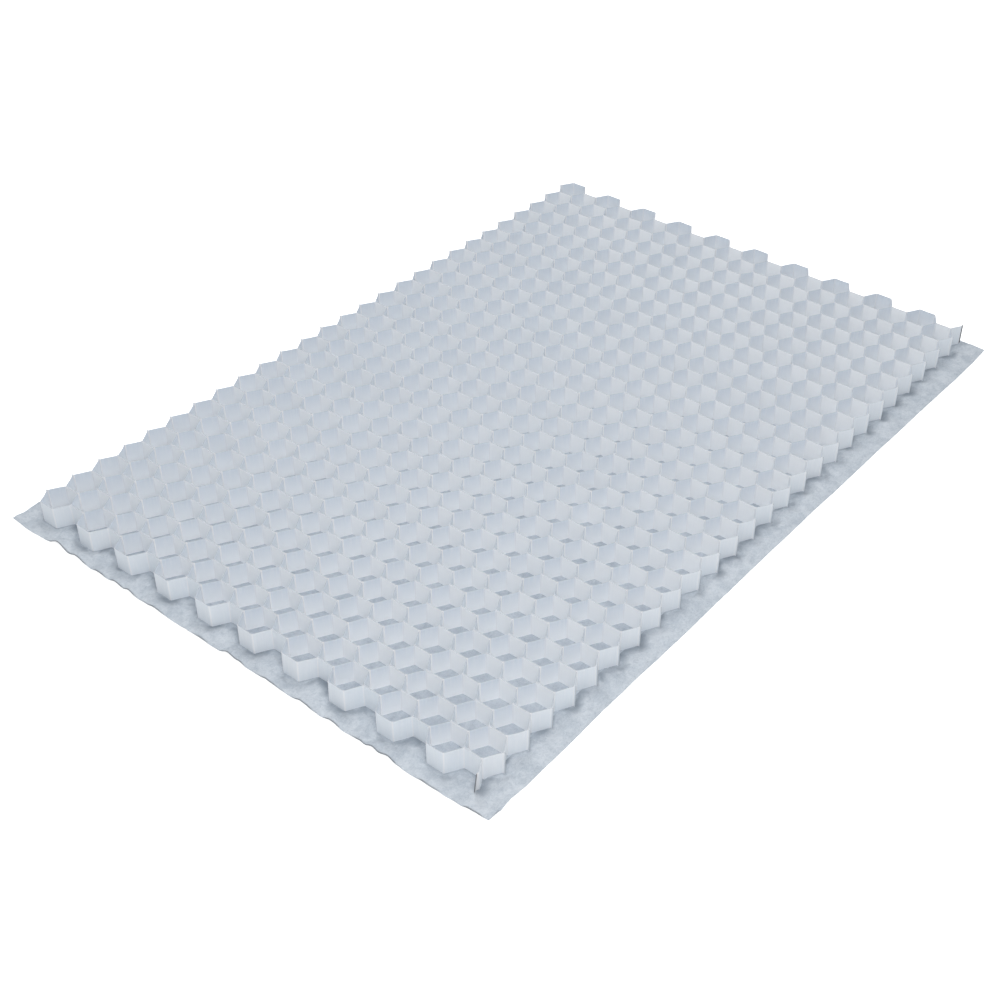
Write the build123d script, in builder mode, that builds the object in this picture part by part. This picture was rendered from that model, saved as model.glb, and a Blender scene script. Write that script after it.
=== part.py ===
from build123d import *
from math import sqrt
import os

# Gravel grid: a flat sheet of open honeycomb cells, folded from plastic strips that are
# welded to each other along their flats, on a thin non-woven fleece that shows past the cells.
# X runs along the long side, Y along the short side, Z up, millimetres.
# The origin is the middle of the fleece, on its underside, which lies on the ground.

# driving dimensions of the honeycomb
cell_across_flats = 43.0      # clear pitch of the cells along the long side
cell_rows = 27                # cells along the long side, in the columns that stand proud
cell_columns = 20             # columns of cells across the short side
wall_thickness = 0.8          # one strip; the welded flats are two strips thick
wall_height = 32.0            # strip width, from the fleece to the open rim
end_stub = 2.0                # what is left of the next flat where a strip was cut off

# driving dimensions of the fleece
fleece_thickness = 0.8
fleece_past_near_end = 24.0   # past the cells at the short edge on -X
fleece_past_far_end = 5.0     # past the cells at the short edge on +X
fleece_past_near_side = 32.0  # past the cells at the long edge on -Y
fleece_past_far_side = 21.0   # past the cells at the long edge on +Y

# the honeycomb, worked out from the cell
cell_side = cell_across_flats / sqrt(3)
strip_depth = cell_across_flats / 2
flat_spacing = 1.5 * cell_side
strip_count = 2 * cell_rows
corner_growth = wall_thickness / sqrt(3)

# the sheet, worked out from the honeycomb and the fleece
comb_length = cell_rows * cell_across_flats
comb_width = cell_columns * flat_spacing + 0.5 * cell_side + 2 * end_stub
fleece_length = comb_length + fleece_past_near_end + fleece_past_far_end
fleece_width = comb_width + fleece_past_near_side + fleece_past_far_side

comb_start_x = -fleece_length / 2 + fleece_past_near_end
comb_far_y = fleece_width / 2 - fleece_past_far_side
comb_near_y = comb_far_y - comb_width
first_corner_y = comb_far_y - end_stub


def strip_face(low_half_flat, high_half_flat, low_x, high_x):
    # corners of one face of a strip, from the far side of the sheet to the near side:
    # the flats lie low and high in turn, and the slanting walls join their ends;
    # the first and the last flat are cut off at the sides of the sheet
    corners = []
    for flat in range(-1, cell_columns + 1):
        lies_low = flat % 2 == 0
        x = low_x if lies_low else high_x
        half_flat = low_half_flat if lies_low else high_half_flat
        middle_y = first_corner_y - cell_side - flat * flat_spacing
        corners.append((x, min(middle_y + half_flat, comb_far_y)))
        corners.append((x, max(middle_y - half_flat, comb_near_y)))
    return corners


def strip_outline(start_x, turned_over):
    # both faces of a strip, one wall apart; every second strip is turned over,
    # so that its flats lie back to back with the flats of its neighbours
    outer_half_flat = cell_side / 2 + corner_growth
    inner_half_flat = cell_side / 2
    front = strip_face(outer_half_flat, inner_half_flat, 0, strip_depth - wall_thickness)
    back = strip_face(inner_half_flat, outer_half_flat, wall_thickness, strip_depth)
    outline = front + back[::-1]
    if turned_over:
        outline = [(strip_depth - x, y) for x, y in outline]
    return [(start_x + x, y) for x, y in outline]


os.makedirs("parts", exist_ok=True)

with BuildPart() as fleece:
    with BuildSketch(Plane.XY):
        Rectangle(fleece_length, fleece_width)
    extrude(amount=fleece_thickness)
fleece.part.label = "fleece"
export_step(fleece.part, "parts/fleece.step")

for number in range(1, strip_count + 1):
    strip_start_x = comb_start_x + (number - 1) * strip_depth
    with BuildPart() as strip:
        with BuildSketch(Plane.XY.offset(fleece_thickness)):
            with BuildLine():
                Polyline(strip_outline(strip_start_x, turned_over=number % 2 == 0), close=True)
            make_face()
        extrude(amount=wall_height)
    strip.part.label = f"honeycomb_strip_{number:02d}"
    export_step(strip.part, f"parts/{strip.part.label}.step")
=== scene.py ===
import math

import bpy
import numpy as np
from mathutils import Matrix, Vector, geometry, noise


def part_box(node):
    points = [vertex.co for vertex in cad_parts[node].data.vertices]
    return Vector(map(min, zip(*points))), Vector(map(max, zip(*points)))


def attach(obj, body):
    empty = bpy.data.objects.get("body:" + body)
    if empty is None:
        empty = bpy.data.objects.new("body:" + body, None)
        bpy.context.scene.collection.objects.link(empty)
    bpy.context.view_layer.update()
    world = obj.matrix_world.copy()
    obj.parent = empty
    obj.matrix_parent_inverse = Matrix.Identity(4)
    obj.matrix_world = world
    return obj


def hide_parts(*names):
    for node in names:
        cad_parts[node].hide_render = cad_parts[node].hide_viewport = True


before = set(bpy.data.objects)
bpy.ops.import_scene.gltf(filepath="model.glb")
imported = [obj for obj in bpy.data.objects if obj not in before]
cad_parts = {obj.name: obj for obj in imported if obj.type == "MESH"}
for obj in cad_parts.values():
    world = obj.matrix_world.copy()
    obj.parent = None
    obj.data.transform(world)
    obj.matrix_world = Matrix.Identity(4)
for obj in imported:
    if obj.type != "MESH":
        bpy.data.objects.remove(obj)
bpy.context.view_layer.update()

MM = 0.001

# the photograph's view, worked out from the corners of the cells
CAMERA_PLACE = (-1.4155, -1.0911, 1.2947)
CAMERA_HEADING = math.radians(39.134)   # of the line of sight, from +X towards +Y
CAMERA_DIP = math.radians(38.586)       # below the horizon
FOCAL_PIXELS = 1544.6
IMAGE_PIXELS = 1000
SENSOR = 36.0                           # Blender's own sensor width, in its millimetres
LIGHT_BOUNCES = 16

# the honeycomb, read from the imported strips
STRIPS = sorted(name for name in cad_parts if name.startswith("honeycomb_strip_"))
FIRST_LOW, FIRST_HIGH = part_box(STRIPS[0])
LAST_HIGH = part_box(STRIPS[-1])[1]
FLEECE_LOW, FLEECE_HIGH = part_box("fleece")
DEPTH = FIRST_HIGH[0] - FIRST_LOW[0]
PITCH = 2 * DEPTH                       # of the cells along the long side
CELL_SIDE = PITCH / math.sqrt(3)
FLAT_SPACING = 1.5 * CELL_SIDE
FAR_Y, NEAR_Y = FIRST_HIGH[1], FIRST_LOW[1]
START_X, END_X = FIRST_LOW[0], LAST_HIGH[0]
COLUMNS = round((FAR_Y - NEAR_Y - 0.5 * CELL_SIDE) / FLAT_SPACING)
END_STUB = (FAR_Y - NEAR_Y - 0.5 * CELL_SIDE - COLUMNS * FLAT_SPACING) / 2
FIRST_CORNER_Y = FAR_Y - END_STUB
FLEECE_TOP = FIRST_LOW[2]
RIM = FIRST_HIGH[2]

# how a strip is made
WALL = 0.8 * MM
BEND_RADIUS = 2.4 * MM                  # of the middle of the wall
BEND_STEPS = 6
STRAIGHT_STEPS = 3
RISE_STEPS = 3                          # rows of faces up the wall
RIM_BEVEL = 0.15 * MM
SUNK = 0.15 * MM                        # into the fleece, where the wall is welded to it
RIM_SHARE = 0.02                        # of a strip's painted height, which its cut rim takes up
TEXTURE_STEP = 0.37                     # between the textures of neighbouring strips
OUTWARD_PROBE = 3 * MM                  # how far off a wall its outer side is looked for
STRIP_SHARP_ANGLE = math.radians(35)

# how far the free wall of the first and of the last strip stands back from its full length
FIRST_BACK_AT_FLEECE = 7.4 * MM
FIRST_BACK_AT_RIM = 3.4 * MM
LAST_BACK = 3.6 * MM

# how strongly shade is painted on the cut ends of the strips, from 0 to 1: painted shade on every
# end, painted shadow over the free ends of the first and the last strip
CUT_END_SHADE = 0.35
FREE_END_SHADE = 0.9
FREE_BEND_SHADE = 0.10

# how the strips stray from their places
WANDER_SPAN = 110 * MM
WANDER_SPAN_AT_RIM = 0.7 * WANDER_SPAN
WANDER_AT_RIM = 1.3 * MM
WANDER_AT_FLEECE = 0.6 * MM
WELD_STRAY_AT_RIM = 0.40 * MM
WELD_STRAY_AT_FLEECE = 0.22 * MM
WALL_BULGE = 0.30 * MM
BULGE_AT_FLEECE = 0.4                   # as a share of the bulge at the rim
RIM_WAVE = 0.25 * MM
RIM_WAVE_SPAN = 70 * MM
STRIP_STEP = 0.12 * MM                  # between the rims of strips that are welded together

random_shape = np.random.default_rng(11)


def smooth_step(value):
    value = np.clip(value, 0.0, 1.0)
    return value * value * (3 - 2 * value)


def wander(points, span, seed):
    """Smooth noise from about -1 to 1 at each of the flat points."""
    return np.array([noise.noise(Vector((x / span, y / span, seed))) for x, y in points])


def paint(mesh, name, values, domain="POINT"):
    """Gives each corner or face of a mesh a number that its material reads."""
    mesh.attributes.new(name, "FLOAT", domain).data.foreach_set("value", values)


def centre_line(turned_over):
    """Corners of the middle of a strip, from the far side to the near side, as (x, y)."""
    half_flat = CELL_SIDE / 2 + WALL / (2 * math.sqrt(3))
    corners = []
    for flat in range(-1, COLUMNS + 1):
        lies_low = (flat % 2 == 0) != turned_over
        x = WALL / 2 if lies_low else DEPTH - WALL / 2
        middle_y = FIRST_CORNER_Y - CELL_SIDE - flat * FLAT_SPACING
        corners.append((x, min(middle_y + half_flat, FAR_Y)))
        corners.append((x, max(middle_y - half_flat, NEAR_Y)))
    return [np.array(corner) for corner in corners]


def stations_along(corners):
    """Places along the line with its bends rounded: where each is, the wall's direction
    there, the number of the wall, how far along the wall it is and how far into a bend."""
    cut_back = BEND_RADIUS * math.tan(math.radians(30))
    places, ways, walls, shares, bends = [], [], [], [], []
    last = len(corners) - 2
    for wall in range(last + 1):
        start, end = corners[wall], corners[wall + 1]
        length = np.linalg.norm(end - start)
        way = (end - start) / length
        first = start + way * (cut_back if wall else 0)
        final = end - way * (cut_back if wall < last else 0)
        for step in range(STRAIGHT_STEPS + 1):
            share = step / STRAIGHT_STEPS
            places.append(first + (final - first) * share)
            ways.append(way)
            walls.append(wall)
            shares.append(share)
            bends.append(0.0)
        if wall == last:
            continue
        onward = corners[wall + 2] - end
        turn = math.atan2(way[0] * onward[1] - way[1] * onward[0], way @ onward)
        left = np.array((-way[1], way[0]))
        centre = final + left * math.copysign(BEND_RADIUS, turn)
        for step in range(1, BEND_STEPS):
            angle = turn * step / BEND_STEPS
            spin = np.array(((math.cos(angle), -math.sin(angle)),
                             (math.sin(angle), math.cos(angle))))
            places.append(centre + spin @ (final - centre))
            ways.append(spin @ way)
            walls.append(wall)
            shares.append(1.0)
            bends.append(math.sin(math.pi * step / BEND_STEPS))
    return (np.array(places), np.array(ways), np.array(walls), np.array(shares),
            np.array(bends))


STATIONS = [stations_along(centre_line(turned_over)) for turned_over in (False, True)]
LAST_WALL = 2 * COLUMNS + 2

# one row for each line of welds, from the open edge at -X to the one at +X
weld_stray = random_shape.uniform(-1, 1, (len(STRIPS) + 1, COLUMNS + 2, 2))
wall_bulge = random_shape.normal(0, 1, (len(STRIPS), LAST_WALL + 1)).clip(-2, 2)
strip_step = random_shape.uniform(-1, 1, len(STRIPS))


def flat_of(wall):
    return wall // 2 - 1


def weld_line(strip, flat):
    """The line of welds that a flat of a strip belongs to."""
    lies_low = (flat % 2 == 0) != (strip % 2 == 1)
    return strip if lies_low else strip + 1


def stray_of_stations(strip, walls, shares):
    """How far the welds pull each station off its place, as shares of the greatest pull."""
    strays = np.array([weld_stray[weld_line(strip, flat), flat + 1]
                       for flat in range(-1, COLUMNS + 1)])
    before = strays[walls // 2]
    after = strays[np.minimum(walls // 2 + 1, COLUMNS + 1)]
    share = np.where(walls % 2 == 1, shares, 0.0)[:, None]
    return before * (1 - share) + after * share


def is_single(strip, wall):
    """Whether a wall is one strip thick: a slanting one, or a flat at an open edge."""
    if wall % 2 == 1:
        return True
    return weld_line(strip, flat_of(wall)) in (0, len(STRIPS))


def in_cells(points):
    """Whether each flat point lies in one of the cells, walls included."""
    x, y = points[:, 0], points[:, 1]
    inside = np.zeros(len(points), bool)
    for column in range(COLUMNS):
        across = y - (FIRST_CORNER_Y - CELL_SIDE - column * FLAT_SPACING)
        first_x = START_X + DEPTH * (1 + column % 2)
        rows = len(STRIPS) // 2 - column % 2
        row = np.clip(np.round((x - first_x) / PITCH), 0, rows - 1)
        along = np.abs(x - first_x - row * PITCH)
        reach = np.maximum(along, 0.5 * along + math.sqrt(0.75) * np.abs(across))
        inside |= reach <= PITCH / 2
    return inside


def pulled_in(strip, walls, shares, height):
    """How far the free end of the first and the last strip stands back along its wall."""
    if strip == 0:
        back = FIRST_BACK_AT_FLEECE * (1 - height) + FIRST_BACK_AT_RIM * height
    elif strip == len(STRIPS) - 1:
        back = LAST_BACK
    else:
        return np.zeros(len(walls))
    return back * smooth_step(walls - (LAST_WALL - 1) + shares)


def strip_mesh(strip):
    """One folded strip, as a closed mesh: at each station, a ring of points goes up one
    side of the wall, over its rim and down the other side."""
    places, ways, walls, shares, bends = STATIONS[strip % 2]
    low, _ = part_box(STRIPS[strip])
    places = places + np.array((low[0], 0.0))
    lefts = np.stack((-ways[:, 1], ways[:, 0]), axis=1)
    single = np.array([is_single(strip, wall) for wall in range(LAST_WALL + 1)])[walls]
    bulge = wall_bulge[strip][walls] * single * 4 * shares * (1 - shares) * (bends == 0)
    stray = stray_of_stations(strip, walls, shares)
    at_fleece = np.stack([wander(places, WANDER_SPAN, seed) for seed in (3.1, 17.7)], axis=1)
    at_rim = np.stack([wander(places, WANDER_SPAN_AT_RIM, seed) for seed in (41.3, 63.9)], axis=1)
    rim_wave = wander(places, RIM_WAVE_SPAN, 91.0) * RIM_WAVE + strip_step[strip] * STRIP_STEP

    rows = []
    for row in range(RISE_STEPS + 1):
        height = row / RISE_STEPS
        bulge_share = BULGE_AT_FLEECE + (1 - BULGE_AT_FLEECE) * height
        middle = (places
                  + at_fleece * WANDER_AT_FLEECE * (1 - height)
                  + at_rim * WANDER_AT_RIM * height
                  + stray * (WELD_STRAY_AT_FLEECE * (1 - height) + WELD_STRAY_AT_RIM * height)
                  + lefts * (bulge * WALL_BULGE * bulge_share)[:, None]
                  - ways * pulled_in(strip, walls, shares, height)[:, None])
        z = FLEECE_TOP - SUNK + (RIM - RIM_BEVEL - FLEECE_TOP + SUNK) * height
        rows.append((middle, z + rim_wave * height))
    top_middle, top_z = rows[-1]

    ring = []
    for middle, z in rows:
        ring.append(np.column_stack((middle - lefts * WALL / 2, z)))
    for side in (-1, 1):
        inner = top_middle + lefts * side * (WALL / 2 - RIM_BEVEL)
        ring.append(np.column_stack((inner, top_z + RIM_BEVEL)))
    for middle, z in reversed(rows):
        ring.append(np.column_stack((middle + lefts * WALL / 2, z)))
    ring = np.stack(ring, axis=1)
    count, around = ring.shape[:2]
    outward = [~in_cells(places + lefts * side * OUTWARD_PROBE) for side in (-1, 1)]
    outward = np.stack([outward[0]] * (around // 2) + [outward[1]] * (around // 2), axis=1)

    station, point = np.meshgrid(np.arange(count - 1), np.arange(around), indexing="ij")
    onward = (point + 1) % around
    sides = np.stack((station * around + point, (station + 1) * around + point,
                      (station + 1) * around + onward, station * around + onward), axis=-1)
    faces = sides.reshape(-1, 4).tolist()
    first_cap_face = len(faces)
    for first, turned in ((0, False), ((count - 1) * around, True)):
        for point in range(around // 2 - 1):
            cap = [first + point, first + point + 1, first + around - 2 - point,
                   first + around - 1 - point]
            faces.append(cap[::-1] if turned else cap)

    mesh = bpy.data.meshes.new(STRIPS[strip] + "_folded")
    mesh.from_pydata(ring.reshape(-1, 3).tolist(), [], faces)
    steps = np.linalg.norm(np.diff(places, axis=0), axis=1)
    along = np.concatenate(((0.0,), np.cumsum(steps)))
    up = [row / RISE_STEPS * (1 - RIM_SHARE) for row in range(RISE_STEPS + 1)]
    up = up + [1.0, 1.0] + up[::-1]
    sheet = np.stack((np.repeat(along, around), np.tile(up, count),
                      np.full(count * around, strip * TEXTURE_STEP)), axis=1)
    mesh.attributes.new("on_strip", "FLOAT_VECTOR", "POINT").data.foreach_set(
        "vector", sheet.ravel())
    paint(mesh, "bend", np.repeat(bends, around))
    paint(mesh, "outward", outward.ravel().astype(float))
    paint(mesh, "single", np.repeat(single.astype(float), around))
    # painted shade: the ends of each strip are painted darker, and the free end of the first and
    # the last strip carries a painted shadow
    painted_end_shade = np.zeros(len(faces))
    painted_end_shade[first_cap_face:] = CUT_END_SHADE
    if strip in (0, len(STRIPS) - 1):
        bent = (walls == LAST_WALL - 1) & (bends > 0)
        painted_end_shade[np.repeat(bent[1:], around).nonzero()[0]] = FREE_BEND_SHADE
        painted_end_shade[np.repeat((walls == LAST_WALL)[1:], around).nonzero()[0]] = FREE_END_SHADE
        painted_end_shade[first_cap_face:] = FREE_END_SHADE
    paint(mesh, "painted_end_shade", painted_end_shade, "FACE")
    mesh.shade_smooth()
    mesh.set_sharp_from_angle(angle=STRIP_SHARP_ANGLE)
    return mesh


# waves that lift the fleece's edge at -X: place along Y, half length and height, in MM
EDGE_LIFTS = (
    (312, 23, 10.0), (276, 19, 6.0), (232, 20, 2.5), (199, 16, 4.0), (174, 15, 5.5),
    (124, 22, 3.0), (44, 26, 1.5), (-5, 15, 7.0), (-24, 12, 3.5), (-70, 22, 3.0),
    (-130, 20, 4.2), (-177, 16, 3.8), (-218, 18, 2.2), (-240, 13, 4.8), (-262, 15, 6.0),
    (-320, 26, 1.4), (-383, 22, 3.2),
)
LIFT_REACH = 21 * MM                    # how far in from the edge such a wave goes
LIFT_SPREAD = 0.62                      # of the bell shape of a wave, as a share of its half length

# how far the cut edges stand out past a straight line: place along the edge and distance,
# in MM
EDGE_AT_NEAR_SIDE = (
    (-595, -3.0), (-574, -1.4), (-552, -3.8), (-530, -2.0), (-440, -2.2), (-385, -3.6),
    (-340, -2.8), (-310, -3.6), (-270, -2.0), (-60, -1.9), (60, -1.4), (170, 0.2), (270, 1.2),
    (340, 2.2), (430, 2.9), (495, 4.9), (550, 4.9), (595, 3.3),
)
EDGE_AT_NEAR_END = (
    (-407, -4.4), (-384, -1.4), (-350, -1.0), (-320, 0.6), (-60, -0.6), (80, -0.2),
    (224, 0.0), (352, 0.6), (368, 2.0), (407, 0.0),
)
EDGE_REACH = 14 * MM                    # how far in from the edge the cloth gives way
RAGGED = 0.35 * MM                      # how far the edge strays besides
RAGGED_REACH = 6 * MM
RAGGED_SPAN, RAGGED_LONG_SPAN = 9 * MM, 60 * MM
RAGGED_LONG_SHARE = 1.6

# the fleece's corners: how far apart they are at the two near edges, at the two far edges
# and under the cells
FINE_STEP, FAR_STEP, COARSE_STEP = 2.05 * MM, 2.8 * MM, 6.6 * MM
FAR_END_MARGIN = 4 * MM                 # under the cells, where the spacing at +X begins

# the fleece's folds: it is held down by the walls and rises between them
HELD_WITHIN = 1.2 * MM                  # of a wall
FREE_OVER = 11 * MM                     # further out, it comes fully free over this distance
CELL_HILL, CELL_HILL_SPAN = 0.9 * MM, 30 * MM
LEAST_CELL_HILL = 0.35
WAVE_HEIGHT = 2.7 * MM
WAVE_SPAN, RIPPLE_SPAN = 26 * MM, 11 * MM
RIPPLE_SHARE = 0.35
CREASE_HEIGHT = 1.3 * MM
CREASE_START, CREASE_END, CREASE_FADE = 5 * MM, 26 * MM, 18 * MM
SETTLE_REACH = 10 * MM                  # how far in from the edge at -Y the cloth lies flatter
SETTLED_LIFT = 0.25                     # what is left of the folds at that edge
FREE_WALL_CUT = 0.3                     # share of a free wall that doesn't hold the fleece down
HANG_START, HANG_RANGE = 1.2, 2.4       # lift in MM from which a painted shadow darkens the lifted edge
FLEECE_SHARP_ANGLE = math.radians(50)


def spaced(start, end, step):
    return np.linspace(start, end, max(2, round(abs(end - start) / step) + 1))


def fleece_points():
    """Places for the fleece's corners: close together where it shows past the cells."""
    lowx, lowy, highx, highy = FLEECE_LOW[0], FLEECE_LOW[1], FLEECE_HIGH[0], FLEECE_HIGH[1]
    in_x, out_x = START_X + DEPTH, END_X - FAR_END_MARGIN
    in_y, out_y = NEAR_Y + 0.5 * CELL_SIDE, FAR_Y - 0.5 * CELL_SIDE
    patches = (
        (spaced(lowx, in_x, FINE_STEP), spaced(lowy, highy, FINE_STEP)),
        (spaced(in_x, highx, FINE_STEP)[1:], spaced(lowy, in_y, FINE_STEP)),
        (spaced(in_x, highx, FAR_STEP)[1:], spaced(out_y, highy, FAR_STEP)),
        (spaced(out_x, highx, FAR_STEP), spaced(in_y, out_y, FAR_STEP)[1:-1]),
        (spaced(in_x, out_x, COARSE_STEP)[1:-1], spaced(in_y, out_y, COARSE_STEP)[1:-1]),
    )
    points = np.concatenate([np.stack(np.meshgrid(xs, ys, indexing="ij"), -1).reshape(-1, 2)
                             for xs, ys in patches])
    return np.unique(points.round(7), axis=0)


def hill_of_cells(x, y):
    """1 in the middle of each cell, 0 at the cells' corners."""
    centre_x, centre_y = START_X + DEPTH, FIRST_CORNER_Y - CELL_SIDE
    pull = 4 * math.pi / (math.sqrt(3) * PITCH)
    total = sum(np.cos(pull * ((x - centre_x) * math.cos(math.radians(angle))
                               + (y - centre_y) * math.sin(math.radians(angle))))
                for angle in (90, 30, 150))
    return (total + 1.5) / 4.5


def outer_walls():
    """The walls along the four sides of the honeycomb, as pairs of flat points. The free
    walls of the first and the last strip are left a little short, as they lift off."""
    pairs = []
    for strip, name in enumerate(STRIPS):
        corners = centre_line(strip % 2 == 1)
        offset = np.array((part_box(name)[0][0], 0.0))
        numbers = range(LAST_WALL + 1)
        if 0 < strip < len(STRIPS) - 1:
            numbers = (0, 1, 2, LAST_WALL - 2, LAST_WALL - 1, LAST_WALL)
        if strip in (0, len(STRIPS) - 1):
            corners[-2] = corners[-2] + (corners[-3] - corners[-2]) * FREE_WALL_CUT
            numbers = range(LAST_WALL)
        pairs += [(corners[i] + offset, corners[i + 1] + offset) for i in numbers]
    return np.array(pairs)


def distance_to_walls(points, pairs):
    """How far each point is from the nearest wall."""
    nearest = np.full(len(points), np.inf)
    for start, end in pairs:
        way = end - start
        share = np.clip(((points - start) @ way) / (way @ way), 0, 1)
        off = points - (start + share[:, None] * way)
        nearest = np.minimum(nearest, np.hypot(off[:, 0], off[:, 1]))
    return nearest


def crease_from_corners(points, corners):
    """Fine folds that run out from the corners of the outer cells."""
    nearest = np.full(len(points), np.inf)
    angle = np.zeros(len(points))
    which = np.zeros(len(points), int)
    for number, corner in enumerate(corners):
        off = points - corner
        distance = np.hypot(off[:, 0], off[:, 1])
        closer = distance < nearest
        nearest = np.where(closer, distance, nearest)
        angle = np.where(closer, np.arctan2(off[:, 1], off[:, 0]), angle)
        which = np.where(closer, number, which)
    phase = random_shape.uniform(0, 2 * math.pi, len(corners))[which]
    count = random_shape.integers(7, 12, len(corners))[which]
    strength = random_shape.uniform(0.2, 1.0, len(corners))[which]
    fade = smooth_step(nearest / CREASE_START) * smooth_step((CREASE_END - nearest) / CREASE_FADE)
    return strength * fade * (0.5 + 0.5 * np.cos(count * angle + phase))


def fleece_mesh():
    """The fleece as it lies: a thin closed shell with folds, lifted edges and uneven cuts."""
    flat = fleece_points()
    x, y = flat[:, 0], flat[:, 1]
    pairs = outer_walls()
    outside = ((x < START_X + DEPTH) | (x > END_X - DEPTH)
               | (y < NEAR_Y + 0.5 * CELL_SIDE) | (y > FAR_Y - 0.5 * CELL_SIDE))
    # under the cells the fleece counts as far from any wall, so it gets no folds or shade there
    away = np.full(len(flat), 1.0)
    away[outside] = distance_to_walls(flat[outside], pairs)
    free = smooth_step((away - HELD_WITHIN) / FREE_OVER)

    rise = 0.5 + 0.5 * wander(flat, CELL_HILL_SPAN, 5.0)
    cells = hill_of_cells(x, y) * (LEAST_CELL_HILL + (1 - LEAST_CELL_HILL) * rise)
    lift = np.where(outside, 0.0, cells * CELL_HILL)

    wave = 0.5 + 0.5 * wander(flat, WAVE_SPAN, 21.0)
    wave += RIPPLE_SHARE * wander(flat, RIPPLE_SPAN, 33.0)
    lift += np.where(outside, np.clip(wave, 0, None) * free * WAVE_HEIGHT, 0.0)
    corners = np.unique(pairs.reshape(-1, 2).round(5), axis=0)
    creases = crease_from_corners(flat[outside], corners)
    lift[outside] += creases * free[outside] * CREASE_HEIGHT

    for middle, half, height in EDGE_LIFTS:
        length = np.exp(-((y - middle * MM) / (half * MM * LIFT_SPREAD)) ** 2)
        inward = smooth_step((FLEECE_LOW[0] + LIFT_REACH - x) / LIFT_REACH)
        lift += height * MM * length * inward
    edge = np.minimum(np.minimum(x - FLEECE_LOW[0], FLEECE_HIGH[0] - x),
                      np.minimum(y - FLEECE_LOW[1], FLEECE_HIGH[1] - y))
    settled = smooth_step((y - FLEECE_LOW[1]) / SETTLE_REACH) * (1 - SETTLED_LIFT) + SETTLED_LIFT
    lift *= np.where(x > FLEECE_LOW[0] + LIFT_REACH, settled, 1.0)

    # the cut edges aren't straight
    near_side = np.interp(x / MM, *zip(*EDGE_AT_NEAR_SIDE)) * MM
    near_end = np.interp(y / MM, *zip(*EDGE_AT_NEAR_END)) * MM
    shift = np.stack((
        -near_end * smooth_step((FLEECE_LOW[0] + EDGE_REACH - x) / EDGE_REACH),
        -near_side * smooth_step((FLEECE_LOW[1] + EDGE_REACH - y) / EDGE_REACH)), axis=1)
    ragged = np.stack([wander(flat, RAGGED_SPAN, seed) for seed in (71.0, 83.0)], axis=1)
    ragged_long = np.stack([wander(flat, RAGGED_LONG_SPAN, seed) for seed in (57.0, 49.0)], axis=1)
    ragged += ragged_long * RAGGED_LONG_SHARE
    near_edge = smooth_step((RAGGED_REACH - edge) / RAGGED_REACH)
    placed = flat + shift + ragged * RAGGED * near_edge[:, None]

    net = geometry.delaunay_2d_cdt([Vector(point) for point in flat], [], [], 0, 1e-7)
    triangles, from_input = net[2], net[3]
    order = [sources[0] for sources in from_input]
    placed, lift, away, in_cell = placed[order], lift[order], away[order], in_cells(flat[order])
    count = len(placed)
    top = np.column_stack((placed, lift + FLEECE_TOP))
    bottom = np.column_stack((placed, lift))
    shell = [list(face) for face in triangles]
    under = [[corner + count for corner in reversed(face)] for face in triangles]
    edges = {(a, b): None for face in shell for a, b in zip(face, face[1:] + face[:1])}
    rims = [[a, a + count, b + count, b] for a, b in edges if (b, a) not in edges]
    mesh = bpy.data.meshes.new("fleece_laid")
    mesh.from_pydata(np.concatenate((top, bottom)).tolist(), [], shell + under + rims)
    paint(mesh, "away", np.tile(away / MM, 2))
    paint(mesh, "in_cell", np.tile(in_cell.astype(float), 2))
    # painted shadow: the cut edge is painted dark where the cloth lifts off the floor
    edge_shadow = np.zeros(count)
    at_edge = [rim[0] for rim in rims]
    edge_shadow[at_edge] = smooth_step((lift[at_edge] / MM - HANG_START) / HANG_RANGE)
    paint(mesh, "edge_shadow", np.tile(edge_shadow, 2))
    mesh.shade_smooth()
    mesh.set_sharp_from_angle(angle=FLEECE_SHARP_ANGLE)
    return mesh


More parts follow.
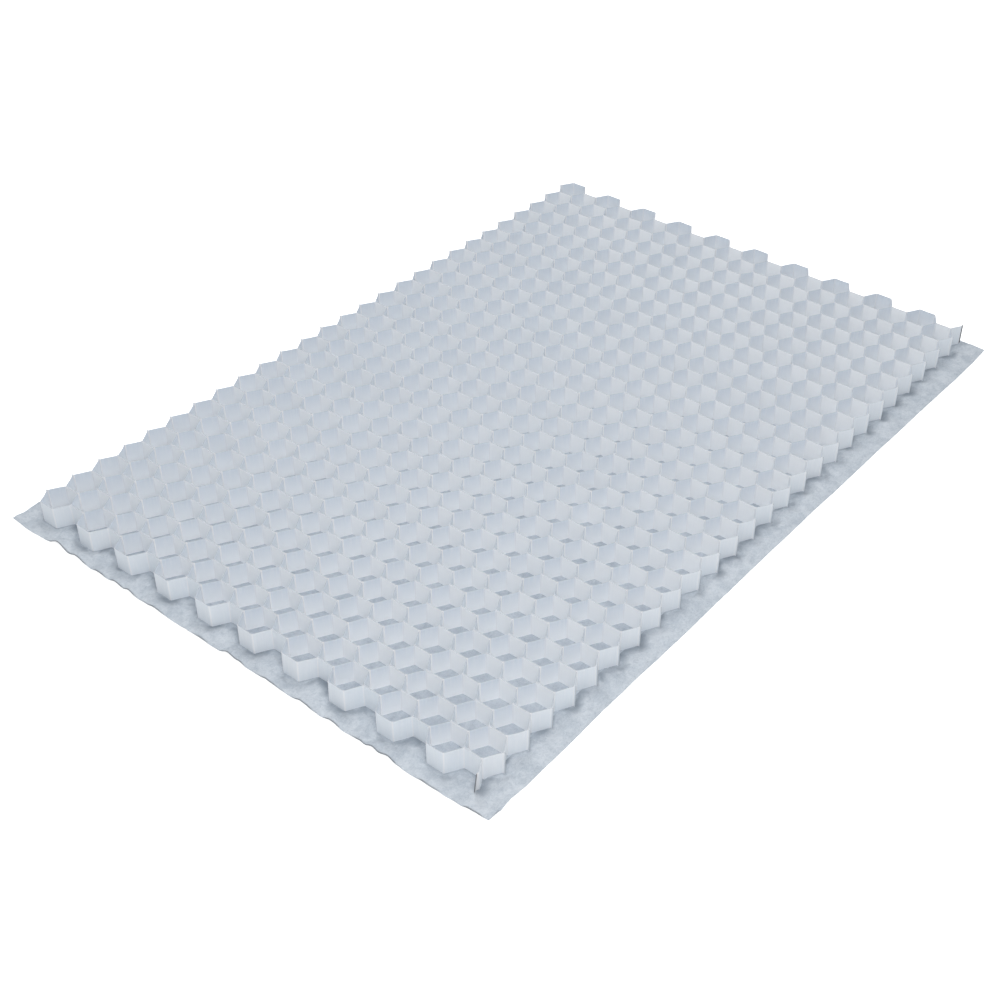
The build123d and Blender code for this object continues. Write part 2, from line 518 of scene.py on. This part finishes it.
class Nodes:
    """Adds nodes to a material and links them."""

    def __init__(self, name):
        self.material = bpy.data.materials.new(name)
        self.material.use_nodes = True
        self.tree = self.material.node_tree
        self.shader = self.tree.nodes["Principled BSDF"]

    def add(self, kind, inputs=None, **settings):
        node = self.tree.nodes.new(kind)
        for name, value in settings.items():
            setattr(node, name, value)
        for name, value in (inputs or {}).items():
            self.give(node.inputs[name], value)
        return node

    def give(self, socket, value):
        if isinstance(value, bpy.types.NodeSocket):
            self.tree.links.new(value, socket)
        else:
            socket.default_value = value

    def attribute(self, name, output="Fac"):
        return self.add("ShaderNodeAttribute", attribute_name=name).outputs[output]

    def maths(self, operation, *values):
        node = self.add("ShaderNodeMath", operation=operation)
        for socket, value in zip(node.inputs, values):
            self.give(socket, value)
        return node.outputs[0]

    def mapped(self, vector, scale, turn=0.0):
        node = self.add("ShaderNodeMapping", {"Vector": vector, "Scale": scale,
                                              "Rotation": (0, 0, math.radians(turn))})
        return node.outputs["Vector"]

    def cloud(self, vector, scale, detail=2.0, roughness=0.5, distortion=0.0):
        node = self.add("ShaderNodeTexNoise", {"Vector": vector, "Scale": scale,
                                               "Detail": detail, "Roughness": roughness,
                                               "Distortion": distortion})
        return node.outputs["Fac"]

    def ramp(self, value, *stops):
        node = self.add("ShaderNodeValToRGB", {"Fac": value})
        ramp = node.color_ramp
        while len(ramp.elements) < len(stops):
            ramp.elements.new(0.5)
        for element, (place, colour) in zip(ramp.elements, stops):
            element.position = place
            element.color = colour
        return node.outputs["Color"]

    def mix(self, factor, first, second):
        node = self.add("ShaderNodeMix", data_type="RGBA")
        self.give(node.inputs["Factor"], factor)
        for socket in node.inputs:
            if socket.type == "RGBA":
                self.give(socket, first if socket.name == "A" else second)
        return next(socket for socket in node.outputs if socket.type == "RGBA")

    def between(self, value, low, high, new_low=0.0, new_high=1.0):
        node = self.add("ShaderNodeMapRange", {"Value": value, "From Min": low, "From Max": high,
                                               "To Min": new_low, "To Max": new_high})
        return node.outputs["Result"]

    def bump(self, height, distance, strength=1.0):
        node = self.add("ShaderNodeBump", {"Height": height, "Distance": distance,
                                           "Strength": strength})
        return node.outputs["Normal"]


# colours of the plastic: doubled walls near the rim, single ones there, walls near the
# fleece, the sides that face out of the sheet, and the marks on them
# painted light: the walls are painted lighter towards the fleece than near the rim, standing in for
# the light that passes through the walls into the cells
UPPER_TONES = ((0.932, 0.940, 0.948, 1), (0.945, 0.944, 0.948, 1))
# painted shade: single walls are painted much darker and bluer near the rim
SINGLE_UPPER_SHADE_TONE = (0.710, 0.762, 0.826, 1)
LOWER_TONES = ((0.970, 0.975, 0.980, 1), (0.976, 0.976, 0.978, 1))
# painted shade: the sides that face out of the sheet are painted darker and bluer
OUTSIDE_SHADE_TONES = ((0.790, 0.835, 0.880, 1), (0.810, 0.838, 0.872, 1))
STREAK_TONE = (0.90, 0.915, 0.93, 1)
BEND_TONE = (0.925, 0.905, 0.905, 1)
# painted shade: the rims are painted darker than the walls, as they face up into the light
RIM_SHADE_TONE, BENT_RIM_SHADE_TONE = (0.52, 0.55, 0.58, 1), (0.70, 0.71, 0.72, 1)
# painted shadow on the cut ends of the strips
PAINTED_END_SHADOW_TONE = (0.12, 0.13, 0.14, 1)

# colours of the fleece
THIN_TONE, THICK_TONE = (0.350, 0.410, 0.475, 1), (0.615, 0.660, 0.710, 1)
FIBRE_TONE = (0.76, 0.79, 0.83, 1)
# painted shade: the fleece inside the cells is painted a little darker
IN_CELL_SHADE_TONE = (0.34, 0.39, 0.45, 1)
SHADE_TONE = (0.23, 0.27, 0.32, 1)
# painted shadow along the lifted edges of the fleece
LIFTED_EDGE_SHADOW_TONE = (0.05, 0.06, 0.07, 1)
FIBRE_TURNS = (12, 58, 101, 149)        # degrees, the ways in which the fibres run
FIBRE_BENDS = (0.6, 0.9, 1.3, 1.7)      # how much they wander


def plastic_material():
    """Milky polypropylene: fine drawing lines up the strip, cloudy tone, a slightly darker
    pinkish tint at the bends, and painted shade on the cut rim, which is painted darker than the
    walls. Painted light and shade besides: walls lighter towards the fleece, single walls darker
    near the rim, the sides that face out of the sheet darker, and shadow on the cut ends."""
    n = Nodes("milky_plastic")
    on_strip = n.attribute("on_strip", "Vector")
    bend, outward, painted_end_shade, single = map(n.attribute, ("bend", "outward", "painted_end_shade", "single"))
    place = n.add("ShaderNodeTexCoord").outputs["Object"]
    height = n.add("ShaderNodeSeparateXYZ", {"Vector": on_strip}).outputs["Y"]
    rim = n.between(height, 1 - RIM_SHARE, 1.0)

    streaks = n.cloud(n.mapped(on_strip, (420, 0.9, 60)), 1.0, 3.0, 0.6)
    clouds = n.cloud(place, 16.0, 2.0, 0.5)
    upper = n.ramp(clouds, (0.30, UPPER_TONES[0]), (0.70, UPPER_TONES[1]))
    # painted shade on the single walls near the rim
    upper = n.mix(single, upper, SINGLE_UPPER_SHADE_TONE)
    lower = n.ramp(clouds, (0.30, LOWER_TONES[0]), (0.70, LOWER_TONES[1]))
    # painted light: lighter towards the bottom of the wall
    tone = n.mix(n.between(height, 0.1, 0.98), lower, upper)
    # painted shade on the sides that face out of the sheet
    outside = n.ramp(clouds, (0.30, OUTSIDE_SHADE_TONES[0]), (0.70, OUTSIDE_SHADE_TONES[1]))
    tone = n.mix(outward, tone, outside)
    tone = n.mix(n.between(streaks, 0.45, 0.75, 0.0, 0.4), tone, STREAK_TONE)
    tone = n.mix(n.maths("MULTIPLY", bend, 0.6), tone, BEND_TONE)
    # painted shade on the rims, a little lighter where they bend
    cut = n.mix(bend, RIM_SHADE_TONE, BENT_RIM_SHADE_TONE)
    tone = n.mix(rim, tone, cut)
    # painted shadow on the cut ends of the strips
    tone = n.mix(painted_end_shade, tone, PAINTED_END_SHADOW_TONE)
    n.give(n.shader.inputs["Base Color"], tone)
    n.give(n.shader.inputs["Roughness"], n.between(streaks, 0.3, 0.7, 0.42, 0.55))
    n.shader.inputs["IOR"].default_value = 1.49
    grain = n.cloud(n.mapped(on_strip, (900, 9, 60)), 1.0, 2.0, 0.5)
    relief = n.maths("ADD", n.maths("MULTIPLY", grain, 0.3), streaks)
    n.give(n.shader.inputs["Normal"], n.bump(relief, 0.06 * MM, 0.5))
    return n.material


def fleece_material():
    """Bonded fibres: a web of fine streaks that cross at many angles, thin and thick places."""
    n = Nodes("bonded_fleece")
    place = n.add("ShaderNodeTexCoord").outputs["Object"]
    fibres = None
    for turn, bend in zip(FIBRE_TURNS, FIBRE_BENDS):
        web = n.cloud(n.mapped(place, (95, 900, 300), turn), 1.0, 3.0, 0.65, bend)
        ridge = n.maths("ABSOLUTE", n.maths("SUBTRACT", web, 0.5))
        line = n.between(ridge, 0.0, 0.09, 1.0, 0.0)
        fibres = line if fibres is None else n.maths("MAXIMUM", fibres, line)
    away, in_cell, edge_shadow = map(n.attribute, ("away", "in_cell", "edge_shadow"))
    patches = n.cloud(place, 190.0, 6.0, 0.70, 1.2)
    broad = n.cloud(place, 42.0, 3.0, 0.5, 0.8)
    thick = n.maths("ADD", n.maths("MULTIPLY", patches, 0.55), n.maths("MULTIPLY", broad, 0.45))
    tone = n.ramp(thick, (0.40, THIN_TONE), (0.60, THICK_TONE))
    tone = n.mix(n.maths("MULTIPLY", fibres, 0.46), tone, FIBRE_TONE)
    # painted shade on the fleece inside the cells
    tone = n.mix(n.maths("MULTIPLY", in_cell, 0.10), tone, IN_CELL_SHADE_TONE)
    # painted shade: where a wall stands on it, the cloth is pressed down; the shade at the wall's
    # foot and soft patches of the wall's shadow are painted on it
    shadow_patches = n.cloud(place, 36.0, 1.0, 0.5)
    wide_painted_shadow = n.maths("MULTIPLY", n.between(away, 2.0, 14.0, 0.80, 0.0), n.between(shadow_patches, 0.46, 0.60))
    shade = n.maths("MAXIMUM", n.between(away, 0.6, 4.0, 0.45, 0.0), wide_painted_shadow)
    shade = n.maths("MULTIPLY", shade, n.between(in_cell, 0, 1, 1, 0.15))
    tone = n.mix(shade, tone, SHADE_TONE)
    # painted shadow along the lifted edges
    tone = n.mix(n.maths("MULTIPLY", edge_shadow, 0.8), tone, LIFTED_EDGE_SHADOW_TONE)
    n.give(n.shader.inputs["Base Color"], tone)
    n.shader.inputs["Roughness"].default_value = 0.9
    n.shader.inputs["Sheen Weight"].default_value = 0.15
    n.shader.inputs["Sheen Roughness"].default_value = 0.5
    height = n.maths("ADD", n.maths("MULTIPLY", fibres, 0.35), thick)
    n.give(n.shader.inputs["Normal"], n.bump(height, 0.6 * MM, 0.8))
    return n.material


# the studio, in metres and watts: a lamp's name, place, side and power
LAMPS = (
    ("overhead", (0.12, 0.30, 1.35), 0.55, 5.0),
    ("front", (-1.10, -0.95, 1.25), 0.6, 7.5),
)
DOME_COLOUR = (0.94, 0.97, 1.0, 1)
DOME_STRENGTH = 0.66
FLOOR_COLOUR = (0.82, 0.82, 0.82, 1)
FLOOR_GLOW = 0.74                       # what the camera sees of the floor besides its own colour
FLOOR_SIZE = 30
FLOOR_GAP = 0.4 * MM                    # under the fleece
NEAREST_SEEN = 0.01


def seen_directly(tree):
    """1 for rays that come from the camera, or by way of a mirror or glass."""
    path = tree.nodes.new("ShaderNodeLightPath")
    total = path.outputs["Is Camera Ray"]
    for kind in ("Is Glossy Ray", "Is Transmission Ray"):
        either = tree.nodes.new("ShaderNodeMath")
        either.operation = "MAXIMUM"
        tree.links.new(total, either.inputs[0])
        tree.links.new(path.outputs[kind], either.inputs[1])
        total = either.outputs[0]
    return total


def floor_material():
    """Pale floor that the camera sees as white, with the object's shadow on it."""
    material = bpy.data.materials.new("studio_floor")
    material.use_nodes = True
    tree = material.node_tree
    tree.nodes.clear()
    diffuse = tree.nodes.new("ShaderNodeBsdfDiffuse")
    diffuse.inputs["Color"].default_value = FLOOR_COLOUR
    glow = tree.nodes.new("ShaderNodeEmission")
    strength = tree.nodes.new("ShaderNodeMath")
    strength.operation = "MULTIPLY"
    strength.inputs[1].default_value = FLOOR_GLOW
    tree.links.new(seen_directly(tree), strength.inputs[0])
    tree.links.new(strength.outputs[0], glow.inputs["Strength"])
    both = tree.nodes.new("ShaderNodeAddShader")
    tree.links.new(diffuse.outputs[0], both.inputs[0])
    tree.links.new(glow.outputs[0], both.inputs[1])
    out = tree.nodes.new("ShaderNodeOutputMaterial")
    tree.links.new(both.outputs[0], out.inputs["Surface"])
    return material


def studio():
    """The floor, the world's light, two soft lamps and the camera of the photograph."""
    scene = bpy.context.scene
    scene.view_settings.view_transform = "Standard"
    # light finds its way down to the bottom of deep white cells only in many steps
    scene.cycles.max_bounces = LIGHT_BOUNCES
    scene.cycles.diffuse_bounces = LIGHT_BOUNCES

    bpy.ops.mesh.primitive_plane_add(size=FLOOR_SIZE, location=(0, 0, -FLOOR_GAP))
    floor = bpy.context.object
    floor.name = "studio_floor"
    floor.data.materials.append(floor_material())

    world = bpy.data.worlds.new("studio")
    scene.world = world
    world.use_nodes = True
    tree = world.node_tree
    tree.nodes.clear()
    dome = tree.nodes.new("ShaderNodeBackground")
    dome.inputs["Color"].default_value = DOME_COLOUR
    dome.inputs["Strength"].default_value = DOME_STRENGTH
    white = tree.nodes.new("ShaderNodeBackground")
    white.inputs["Color"].default_value = (1, 1, 1, 1)
    white.inputs["Strength"].default_value = 1.0
    mix = tree.nodes.new("ShaderNodeMixShader")
    out = tree.nodes.new("ShaderNodeOutputWorld")
    tree.links.new(seen_directly(tree), mix.inputs[0])
    tree.links.new(dome.outputs[0], mix.inputs[1])
    tree.links.new(white.outputs[0], mix.inputs[2])
    tree.links.new(mix.outputs[0], out.inputs["Surface"])

    for name, place, size, power in LAMPS:
        lamp = bpy.data.lights.new(name, "AREA")
        lamp.shape = "SQUARE"
        lamp.size = size
        lamp.energy = power
        holder = bpy.data.objects.new(name, lamp)
        holder.visible_camera = False
        holder.location = place
        holder.rotation_euler = (-Vector(place)).to_track_quat("-Z", "Y").to_euler()
        bpy.context.collection.objects.link(holder)

    camera_data = bpy.data.cameras.new("photo_camera")
    camera_data.sensor_width = SENSOR
    camera_data.lens = SENSOR * FOCAL_PIXELS / IMAGE_PIXELS
    camera_data.clip_start = NEAREST_SEEN
    camera = bpy.data.objects.new("photo_camera", camera_data)
    camera.location = CAMERA_PLACE
    camera.rotation_euler = (math.pi / 2 - CAMERA_DIP, 0, CAMERA_HEADING - math.pi / 2)
    bpy.context.collection.objects.link(camera)
    scene.camera = camera


def place_piece(name, mesh, material, node):
    """Puts a mesh into the scene in place of a node of the frame."""
    piece = bpy.data.objects.new(name, mesh)
    mesh.materials.append(material)
    bpy.context.collection.objects.link(piece)
    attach(piece, "root")
    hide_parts(node)
    return piece


studio()
plastic = plastic_material()
for number, node in enumerate(STRIPS):
    place_piece(node + "_folded", strip_mesh(number), plastic, node)
cloth = place_piece("fleece_laid", fleece_mesh(), fleece_material(), "fleece")
